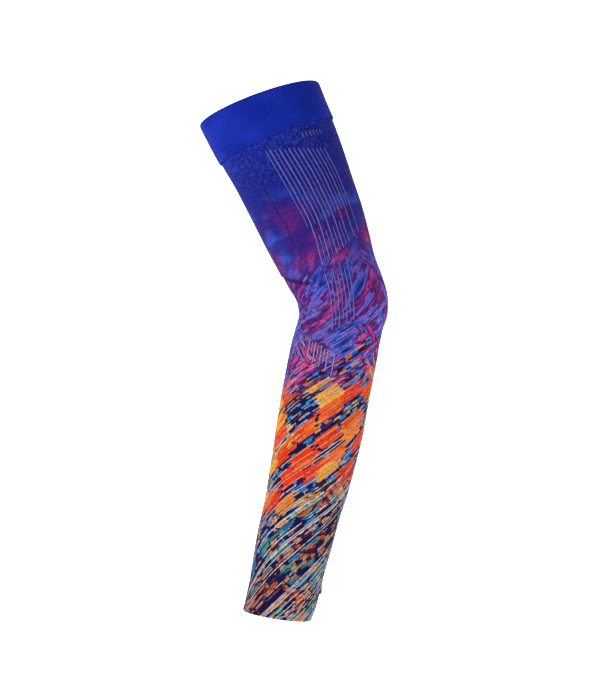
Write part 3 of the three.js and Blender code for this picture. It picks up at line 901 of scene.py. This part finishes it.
def thread_lines(add, colours, at, levels, edge, shade):
    """Thin dark and pale threads over the print, and long dark ones near the wrist."""
    line = counted(add, at.beside, LINE_WIDTH)
    chance = add("ShaderNodeTexWhiteNoise", {"W": line}, noise_dimensions="1D")
    breaks = add("ShaderNodeTexNoise", {"Vector": place_of(add, at.ahead, line, LINE_BREAKS), **EVEN})
    tone = add("ShaderNodeMath", (breaks, 0.70, chance), operation="MULTIPLY_ADD")

    # Fewer lines on the wide patches, inside the dashes that go round them
    below_start = add("ShaderNodeMapRange", (levels.patches, *PATCH_RUN))
    above_end = add("ShaderNodeMapRange", (levels.wrist, WRIST_RUN[1], WRIST_RUN[0]))
    inside = add("ShaderNodeMath", (below_start, edge), operation="SUBTRACT")
    inside = add("ShaderNodeMath", (inside, above_end), operation="MINIMUM")
    inside = add("ShaderNodeMath", (inside, 0.0), operation="MAXIMUM")
    calm = add("ShaderNodeMath", (inside, -0.6, 1.0), operation="MULTIPLY_ADD")
    dark_share = add("ShaderNodeMapRange", (levels.speckled, *DARK_LINE_RUN))
    dark_share = add("ShaderNodeMath", (dark_share, calm), operation="MULTIPLY")
    dark = add("ShaderNodeMapRange", (tone, 0.80, 0.50, 0.0, 0.82))
    dark = add("ShaderNodeMath", (dark, dark_share), operation="MULTIPLY")
    pale_share = add("ShaderNodeMapRange", (levels.speckled, *PALE_LINE_RUN, 0.0, 0.85))
    pale_share = add("ShaderNodeMath", (pale_share, calm), operation="MULTIPLY")
    pale = add("ShaderNodeMapRange", (tone, 1.15, 1.22))
    pale = add("ShaderNodeMath", (pale, pale_share), operation="MULTIPLY")
    dark_thread_tint = (0.36, 0.26, 0.34)
    shade = add("ShaderNodeMix", {0: dark, 6: shade, 7: dark_thread_tint}, 2, data_type="RGBA",
                blend_type="MULTIPLY")

    # Long dark threads, broken here and there, and dashes across them
    long_thread = add("ShaderNodeMath", (at.beside, 1 / LONG_THREAD_PITCH), operation="MULTIPLY")
    long_thread = add("ShaderNodeMath", (long_thread,), operation="FRACT")
    long_thread = add("ShaderNodeMath", (long_thread, LONG_THREAD_FILL), operation="LESS_THAN")
    unbroken = add("ShaderNodeMapRange", (breaks, 0.36, 0.46, 0.0, 0.9))
    long_thread = add("ShaderNodeMath", (long_thread, unbroken), operation="MULTIPLY")
    share = add("ShaderNodeMapRange", (levels.wrist, *LONG_THREAD_RUN))
    long_thread = add("ShaderNodeMath", (long_thread, share), operation="MULTIPLY")
    shade = add("ShaderNodeMix", {0: long_thread, 6: shade, 7: colours.navy}, 2, data_type="RGBA")
    cross = add("ShaderNodeMath", (at.ragged, 1 / CROSS_DASH_PITCH), operation="MULTIPLY")
    cross = add("ShaderNodeMath", (cross,), operation="FRACT")
    cross = add("ShaderNodeMath", (cross, CROSS_DASH_FILL), operation="LESS_THAN")
    share = add("ShaderNodeMapRange", (levels.wrist, *LONG_THREAD_RUN, 0.0, 0.35))
    cross = add("ShaderNodeMath", (cross, share), operation="MULTIPLY")
    shade = add("ShaderNodeMix", {0: cross, 6: shade, 7: colours.navy}, 2, data_type="RGBA")
    return add("ShaderNodeMix", {0: pale, 6: shade, 7: colours.pale}, 2, data_type="RGBA")


def yarn_heather(add, colours, at, levels, shade):
    """Heather of the yarn, and pale specks below the welt."""
    dapple = add("ShaderNodeValToRGB", (at.heather,), stops=(
        (0.30, (0.50, 0.50, 0.50)), (0.50, (0.86, 0.86, 0.86)), (0.70, (1.0, 1.0, 1.0))))
    shade = add("ShaderNodeMix", {0: 1.0, 6: shade, 7: dapple}, 2, data_type="RGBA",
                blend_type="MULTIPLY")
    stitch = add("ShaderNodeCombineXYZ", (at.stitch_x, at.stitch_y, 0.0))
    speck = add("ShaderNodeTexWhiteNoise", {"Vector": stitch}, noise_dimensions="3D")
    share = add("ShaderNodeMapRange", (levels.soft, *SPECK_RUN, 0.0, 0.30))
    speck = add("ShaderNodeMath", (speck, share), operation="LESS_THAN")
    speck = add("ShaderNodeMath", (speck, 0.15), operation="MULTIPLY")
    return add("ShaderNodeMix", {0: speck, 6: shade, 7: colours.highlight_and_fleck}, 2, data_type="RGBA",
               blend_type="ADD")


def wale_highlight_and_shade(add, colours, at, shade):
    """Painted light from the relief attribute, over the print.

    Wales and the crook's first pleat are darkened as painted shade, and a painted highlight is added
    on their crests, which also stands for the paler stretched knit. Grooves and the crease of the crook
    get a painted shadow.
    """
    relief = add("ShaderNodeAttribute", output=2, attribute_name=RELIEF)
    # Painted shade: wales and the pleat darken towards the dark colour from just above their base
    foot_shade = add("ShaderNodeMapRange", (relief, 0.02, 0.10, 0.0, 0.70))
    shade = add("ShaderNodeMix", {0: foot_shade, 6: shade, 7: colours.dusk_and_shade}, 2, data_type="RGBA")
    # Painted highlight added on the crests, which also stands for the paler stretched knit
    crest = add("ShaderNodeMapRange", (relief, 0.30, 0.70))
    broken = add("ShaderNodeMath", (at.heather, 1.1, 0.15), operation="MULTIPLY_ADD")
    crest = add("ShaderNodeMath", (crest, broken), operation="MULTIPLY")
    share = add("ShaderNodeMapRange", (at.along, *PALE_CREST_RUN, 0.0, 0.45))
    tint = add("ShaderNodeMix", {0: share, 6: colours.highlight_and_fleck, 7: colours.pale}, 2, data_type="RGBA")
    shade = add("ShaderNodeMix", {0: crest, 6: shade, 7: tint}, 2, data_type="RGBA", blend_type="ADD")
    # Painted shadow in the crease of the crook and in grooves
    crease_shadow = add("ShaderNodeMapRange", (relief, 0.0, -0.4, 0.0, 0.95))
    return add("ShaderNodeMix", {0: crease_shadow, 6: shade, 7: colours.dusk_and_shade}, 2, data_type="RGBA")


def printed_knit(name, colours):
    """Space-dyed knit print: an ombre from blue through violet to orange, drawn in slanting threads.

    Every thread is shifted along itself by its own random amount, which gives patches ragged ends.
    """
    material, shader, add = start_material(name)
    at = print_places(add)
    levels = print_levels(add, at)
    patches, edge = forearm_patches(add, colours, at)
    shade = print_ground(add, colours, at, levels, patches)
    shade = thread_lines(add, colours, at, levels, edge, shade)
    shade = yarn_heather(add, colours, at, levels, shade)
    shade = wale_highlight_and_shade(add, colours, at, shade)
    set_cloth(material, shader, shade, knit_bump(add, at.around, at.along, TUBE_STITCHES))
    return material


def plain_knit(name, shade, dark, pale, stitches):
    """Plain dyed knit, closer and smoother than the printed tube, with a fine heather."""
    material, shader, add = start_material(name)
    around, along = cloth_place(add)
    place = place_of(add, around, along, PLAIN_HEATHER)
    heather = add("ShaderNodeTexNoise", {"Vector": place, **SOFT, "Roughness": 0.6})
    drift = add("ShaderNodeTexNoise", {"Vector": place_of(add, around, along, PLAIN_DRIFT), **SOFT})
    tone = add("ShaderNodeMath", (drift, 0.5, heather), operation="MULTIPLY_ADD")
    tone = add("ShaderNodeValToRGB", (tone,), stops=((0.50, dark), (0.75, shade), (1.00, pale)))
    set_cloth(material, shader, tone, knit_bump(add, around, along, stitches))
    return material


def finish_piece(piece, nodes, area):
    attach(piece, "root")
    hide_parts(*nodes)


class BuildCamera(bpy.types.Operator):
    """Set up the camera, level with the middle of the sleeve"""

    bl_idname = "sleeve.build_camera"
    bl_label = "Camera"

    def execute(self, context):
        settings = context.scene.sleeve_stage
        data = bpy.data.cameras.new("studio_camera")
        data.sensor_fit = "VERTICAL"
        data.sensor_height = 24.0
        data.lens = data.sensor_height * settings.camera_distance / settings.frame_height
        camera = bpy.data.objects.new("studio_camera", data)
        camera.location = (settings.camera_across, -settings.camera_distance, -settings.camera_below)
        camera.rotation_euler = (math.pi / 2, 0, 0)
        context.scene.collection.objects.link(camera)
        context.scene.camera = camera
        return {"FINISHED"}


class BuildWelt(bpy.types.Operator):
    """Build the plain welt, two layers turned over at the rim"""

    bl_idname = "sleeve.build_welt"
    bl_label = "Upper welt"

    def execute(self, context):
        sizes = context.scene.sleeve_sizes
        colours = context.scene.sleeve_colours
        form = WornForm(sizes)
        outer = sizes.seam_gap + sizes.welt_layer
        inner = -sizes.tube_wall
        tube_top = sizes.welt_depth - sizes.welt_lap
        edge = (outer - inner) / 2
        hem = 0.35 * MM
        outer_rows = 46
        inner_rows = 20
        lap_rows = 10
        outline = [
            *even_spots(sizes.welt_depth - hem, edge, outer_rows, outer, FACE)[:-1],
            *turned_edge(0, outer, inner, 1, TURNED_ROWS, FACE),
            *even_spots(edge, tube_top - sizes.seam_gap, inner_rows, inner, FACE)[1:],
            *even_spots(tube_top - sizes.seam_gap, sizes.welt_depth, lap_rows, sizes.seam_gap, FACE),
            Spot(sizes.welt_depth, outer - hem, FACE),
        ]

        def relief(spot, column, degrees):
            return 0.0, form.rim_roll(spot.along)

        royal = plain_knit("dyed_polyamide_knit", colours.royal, linear("0a1a7c"), linear("1a34ac"),
                           WELT_STITCHES)
        piece = swept_band("welt_band", form, outline, 5, 3, relief, [royal])
        flat = (form.girth(0), sizes.welt_depth)
        finish_piece(piece, ["upper_welt"], form.flat_area(0, sizes.welt_depth))
        return {"FINISHED"}


class BuildTube(bpy.types.Operator):
    """Build the printed tube with its raised wales and the fold of the crook"""

    bl_idname = "sleeve.build_tube"
    bl_label = "Sleeve tube"

    def execute(self, context):
        sizes = context.scene.sleeve_sizes
        colours = context.scene.sleeve_colours
        form = WornForm(sizes)
        top = sizes.welt_depth - sizes.welt_lap
        bottom = sizes.sleeve_length - sizes.cuff_depth
        outer_step = 1.2 * MM
        fold_step = 0.6 * MM
        inner_step = 4.6 * MM
        hem = 0.3 * MM
        fold_top = FOLD_ROWS[0] * sizes.sleeve_length
        fold_bottom = FOLD_ROWS[1] * sizes.sleeve_length
        rows_below = round((bottom - fold_bottom) / outer_step)
        fold_rows = round((fold_bottom - fold_top) / fold_step)
        rows_above = round((fold_top - top) / outer_step)
        inner_rows = round((bottom - top) / inner_step)
        outline = [
            *even_spots(bottom - hem, fold_bottom, rows_below, 0.0, FACE)[:-1],
            *even_spots(fold_bottom, fold_top, fold_rows, 0.0, FACE)[:-1],
            *even_spots(fold_top, top, rows_above, 0.0, FACE),
            *even_spots(top, bottom, inner_rows, -sizes.tube_wall, REVERSE),
            Spot(bottom, -hem, FACE),
        ]

        def relief(spot, column, degrees):
            if spot.skin == REVERSE:
                return 0.0, form.lining(degrees, spot.along)
            wale = 0.0
            if column < FAN_COLUMNS:
                wale = form.wale_rise(column, spot.along)
            lift = wale * sizes.wale_height + form.folds(degrees, spot.along)
            # The first value sets the painted highlight and shade of wales, the pleat, grooves and the
            # crease
            return wale + form.crease(degrees, spot.along), lift

        printed = printed_knit(PRINTED, colours)
        # The reverse of the knit shows its paler backing yarn
        reverse = plain_knit("knit_reverse", linear("77759c"), linear("5d5b86"), linear("9a98b8"),
                             REVERSE_STITCHES)
        piece = swept_band("knit_tube", form, outline, 6, 3, relief, [printed, reverse])
        flat = (form.girth(top), bottom - top)
        finish_piece(piece, TUBE_NODES, form.flat_area(top, bottom))
        return {"FINISHED"}


class BuildCuff(bpy.types.Operator):
    """Build the hemmed cuff, which carries the print on to the wrist"""

    bl_idname = "sleeve.build_cuff"
    bl_label = "Wrist cuff"

    def execute(self, context):
        sizes = context.scene.sleeve_sizes
        colours = context.scene.sleeve_colours
        form = WornForm(sizes)
        rim = sizes.sleeve_length
        top = rim - sizes.cuff_depth
        tongue = -(sizes.tube_wall + sizes.seam_gap)
        inner = tongue - sizes.welt_layer
        edge = -inner / 2
        hem = 0.3 * MM
        outer_rows = 24
        tongue_rows = 8
        inner_rows = 16
        outline = [
            *turned_edge(rim, inner, 0.0, -1, TURNED_ROWS, FACE),
            *even_spots(rim - edge, top + sizes.seam_gap + hem, outer_rows, 0.0, FACE)[1:],
            Spot(top + sizes.seam_gap, -hem, FACE),
            *even_spots(top + sizes.seam_gap, top - sizes.cuff_lap, tongue_rows, tongue, FACE),
            *even_spots(top - sizes.cuff_lap, rim - edge, inner_rows, inner, REVERSE)[:-1],
        ]

        def relief(spot, column, degrees):
            return 0.0, 0.0

        printed = bpy.data.materials.get(PRINTED) or printed_knit(PRINTED, colours)
        reverse = plain_knit("hem_reverse", linear("6f6a70"), linear("565058"), linear("918a90"),
                             REVERSE_STITCHES)
        piece = swept_band("cuff_band", form, outline, 4, 3, relief, [printed, reverse])
        flat = (form.girth(top), sizes.cuff_depth)
        finish_piece(piece, ["wrist_cuff"], form.flat_area(top, rim))
        return {"FINISHED"}


# Backdrop, in metres: half its width, the front and back of its floor, the bend and the wall
BACKDROP_HALF_WIDTH = 3.0
BACKDROP_FRONT = -3.0
BACKDROP_BACK = 1.3
BACKDROP_BEND = 0.5
BACKDROP_WALL = 2.2
BEND_STEPS = 16

# Place and size of each soft light in metres, and strength of the air's own light
KEY_PLACE = (-1.15, -1.15, 0.30)
KEY_SIZE = 0.7
FILL_PLACE = (1.2, -1.1, -0.1)
FILL_SIZE = 1.2
AIR_STRENGTH = 0.55


def studio_paper():
    """Matte white studio paper, lit evenly enough to show as plain white."""
    material, shader, _ = start_material("studio_paper")
    shader.inputs["Base Color"].default_value = (*linear("f7f7f7"), 1.0)
    shader.inputs["Roughness"].default_value = 0.9
    shader.inputs["Emission Color"].default_value = (1.0, 1.0, 1.0, 1.0)
    shader.inputs["Emission Strength"].default_value = 0.92
    return material


def area_light(name, place, aim, size, power):
    """A square soft light at a place, turned to its aim."""
    data = bpy.data.lights.new(name, "AREA")
    data.size = size
    data.energy = power
    light = bpy.data.objects.new(name, data)
    light.location = place
    light.rotation_euler = (Vector(aim) - Vector(place)).to_track_quat("-Z", "Y").to_euler()
    bpy.context.scene.collection.objects.link(light)


class BuildStage(bpy.types.Operator):
    """Build the pale floor and backdrop and the soft studio lights"""

    bl_idname = "sleeve.build_stage"
    bl_label = "Stage"

    def execute(self, context):
        settings = context.scene.sleeve_stage
        bend_start = BACKDROP_BACK - BACKDROP_BEND
        bm = bmesh.new()
        first = bm.verts.new((-BACKDROP_HALF_WIDTH, BACKDROP_FRONT, -settings.floor_below))
        second = bm.verts.new((BACKDROP_HALF_WIDTH, BACKDROP_FRONT, -settings.floor_below))
        edge = bm.edges.new((first, second))
        floor = bmesh.ops.extrude_edge_only(bm, edges=[edge])["geom"]
        moved = [item for item in floor if isinstance(item, bmesh.types.BMVert)]
        bmesh.ops.translate(bm, verts=moved, vec=(0, bend_start - BACKDROP_FRONT, 0))
        rail = [item for item in floor if isinstance(item, bmesh.types.BMEdge)]
        rail = [item for item in rail if all(vert in moved for vert in item.verts)]
        bent = bmesh.ops.spin(
            bm, geom=rail + moved, cent=(0, bend_start, BACKDROP_BEND - settings.floor_below),
            axis=(1, 0, 0), angle=math.pi / 2, steps=BEND_STEPS)["geom_last"]
        rail = [item for item in bent if isinstance(item, bmesh.types.BMEdge)]
        wall = bmesh.ops.extrude_edge_only(bm, edges=rail)["geom"]
        moved = [item for item in wall if isinstance(item, bmesh.types.BMVert)]
        bmesh.ops.translate(bm, verts=moved, vec=(0, 0, BACKDROP_WALL))
        for face in bm.faces:
            face.smooth = True
        mesh = bpy.data.meshes.new("backdrop")
        bm.to_mesh(mesh)
        bm.free()
        mesh.materials.append(studio_paper())
        backdrop = bpy.data.objects.new("backdrop", mesh)
        context.scene.collection.objects.link(backdrop)

        middle = (settings.camera_across, 0, -settings.camera_below)
        area_light("key_light", KEY_PLACE, middle, KEY_SIZE, settings.key_power)
        area_light("fill_light", FILL_PLACE, middle, FILL_SIZE, settings.fill_power)
        world = bpy.data.worlds.new("studio_air")
        world.use_nodes = True
        air = world.node_tree.nodes["Background"]
        air.inputs["Color"].default_value = (1.0, 1.0, 1.0, 1.0)
        air.inputs["Strength"].default_value = AIR_STRENGTH
        context.scene.world = world
        context.scene.view_settings.view_transform = "Standard"
        return {"FINISHED"}


OPERATORS = (BuildCamera, BuildWelt, BuildTube, BuildCuff, BuildStage)


class SleevePanel(bpy.types.Panel):
    """Sizes, colours and build steps of the sleeve"""

    bl_idname = "VIEW3D_PT_sleeve"
    bl_label = "Knitted arm sleeve"
    bl_space_type = "VIEW_3D"
    bl_region_type = "UI"
    bl_category = "Sleeve"

    def draw(self, context):
        scene = context.scene
        for group in (scene.sleeve_sizes, scene.sleeve_colours, scene.sleeve_stage):
            box = self.layout.box()
            for key in group.__annotations__:
                box.prop(group, key)
        for operator in OPERATORS:
            self.layout.operator(operator.bl_idname)


CLASSES = (SleeveSizes, SleeveColours, StageSettings, *OPERATORS, SleevePanel)


def register():
    """Registers the classes and hangs their settings on the scene."""
    for item in CLASSES:
        bpy.utils.register_class(item)
    bpy.types.Scene.sleeve_sizes = bpy.props.PointerProperty(type=SleeveSizes)
    bpy.types.Scene.sleeve_colours = bpy.props.PointerProperty(type=SleeveColours)
    bpy.types.Scene.sleeve_stage = bpy.props.PointerProperty(type=StageSettings)


def unregister():
    """Takes the settings and the classes away again."""
    del bpy.types.Scene.sleeve_stage
    del bpy.types.Scene.sleeve_colours
    del bpy.types.Scene.sleeve_sizes
    for item in reversed(CLASSES):
        bpy.utils.unregister_class(item)


def main():
    """Builds everything in order."""
    register()
    bpy.ops.sleeve.build_camera()
    bpy.ops.sleeve.build_welt()
    bpy.ops.sleeve.build_tube()
    bpy.ops.sleeve.build_cuff()
    bpy.ops.sleeve.build_stage()


if __name__ == "__main__":
    main()
